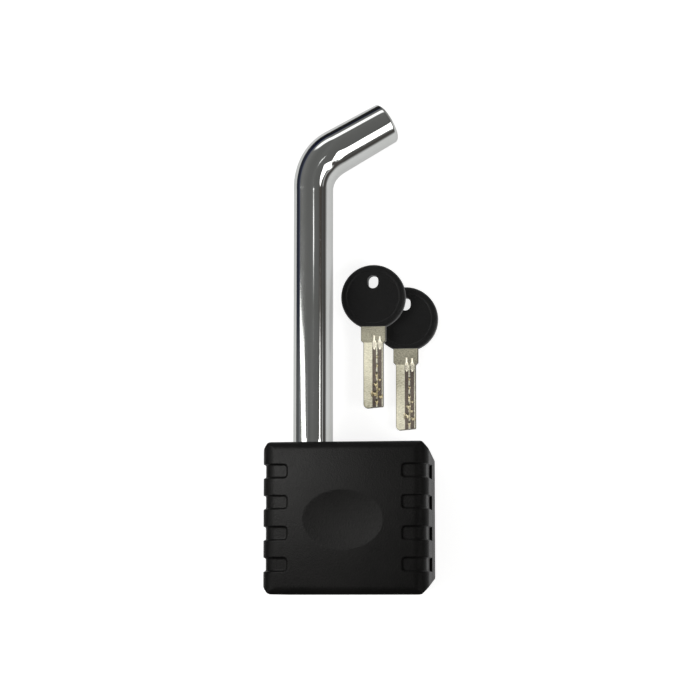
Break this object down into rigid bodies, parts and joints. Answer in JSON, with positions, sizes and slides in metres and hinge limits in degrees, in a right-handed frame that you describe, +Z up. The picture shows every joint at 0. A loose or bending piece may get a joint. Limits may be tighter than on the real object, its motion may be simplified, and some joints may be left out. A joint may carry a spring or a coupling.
{
  "type": "hitch pin lock",
  "caption": "Bent chromed hitch pin held in a key-operated black lock head, with two dimple keys lying beside it.",
  "frame": {"origin": "on the pin shank's axis, in the plane of the lock head's entry face", "axes": "+Y along the shank toward the bend, +X toward the wide side of the head, +Z up from the surface that the lock lies on"},
  "size_m": [0.0664, 0.1973, 0.033],
  "materials": {
    "cover_plastic": "fine matte moulded grain",
    "door_plastic": "matte moulded",
    "bow_plastic": "satin moulded",
    "pin_chrome": "bright chrome plate",
    "seal_rubber": "matt",
    "cast_block": "as cast, machined bores",
    "zinc_steel": "zinc plated",
    "plate_steel": "brushed",
    "hard_steel": "ground",
    "dark_steel": "black oxide",
    "spring_steel": "drawn wire",
    "cylinder_brass": "turned",
    "plug_brass": "turned",
    "tumbler_brass": "turned",
    "key_metal": "nickel silver, milled"
  },
  "bodies": {
    "lock_head": {"lock_body": "cast_block", "front_cover": "cover_plastic", "rear_cover": "cover_plastic", "cover_screws": "zinc_steel", "bolt_pocket_plate": "plate_steel", "plate_screws": "zinc_steel", "cylinder_shell": "cylinder_brass", "tumbler_cover": "cylinder_brass", "driver_pins": "hard_steel", "tumbler_springs": "spring_steel", "cylinder_retaining_screw": "dark_steel", "anti_drill_pins": "dark_steel", "door_hinge_pin": "spring_steel"},
    "seal_ring": {"pin_seal": "seal_rubber"},
    "pin": {"hitch_pin": "pin_chrome"},
    "bolt": {"locking_bolt": "hard_steel"},
    "key_plug": {"plug": "plug_brass", "plug_clip": "plate_steel", "drive_cam": "hard_steel", "cam_pin": "hard_steel", "key_pins": "tumbler_brass"},
    "door": {"keyhole_door": "door_plastic"},
    "key_1": {"key_1_bow": "bow_plastic", "key_1_blade": "key_metal"},
    "key_2": {"key_2_bow": "bow_plastic", "key_2_blade": "key_metal"}
  },
  "joints": [
    {"name": "pin_swivel", "type": "hinge", "parent": "lock_head", "child": "seal_ring", "pos_m": [0, 0, 0], "axis": [0, 1, 0], "continuous": true},
    {"name": "pin_withdraw", "type": "slide", "parent": "seal_ring", "child": "pin", "axis": [0, 1, 0], "range_m": [0, 0.12]},
    {"name": "plug_turn", "type": "hinge", "parent": "lock_head", "child": "key_plug", "pos_m": [0.0284, -0.0445, 0], "axis": [0, -1, 0], "range_deg": [0, 90]},
    {"name": "bolt_throw", "type": "slide", "parent": "lock_head", "child": "bolt", "axis": [-1, 0, 0], "range_m": [0, 0.00398]},
    {"name": "door_swing", "type": "hinge", "parent": "lock_head", "child": "door", "pos_m": [0.0186, -0.0581, 0], "axis": [0, 0, -1], "range_deg": [0, 95]},
    {"name": "key_1_lift", "type": "slide", "parent": "lock_head", "child": "key_1", "axis": [0, 0, 1], "range_m": [0, 0.05]},
    {"name": "key_2_slide", "type": "slide", "parent": "lock_head", "child": "key_2", "axis": [1, 0, 0], "range_m": [0, 0.05]}
  ],
  "couplings": [
    {"joint": "bolt_throw", "follows": "plug_turn", "m_per_rad": 0.002521}
  ]
}
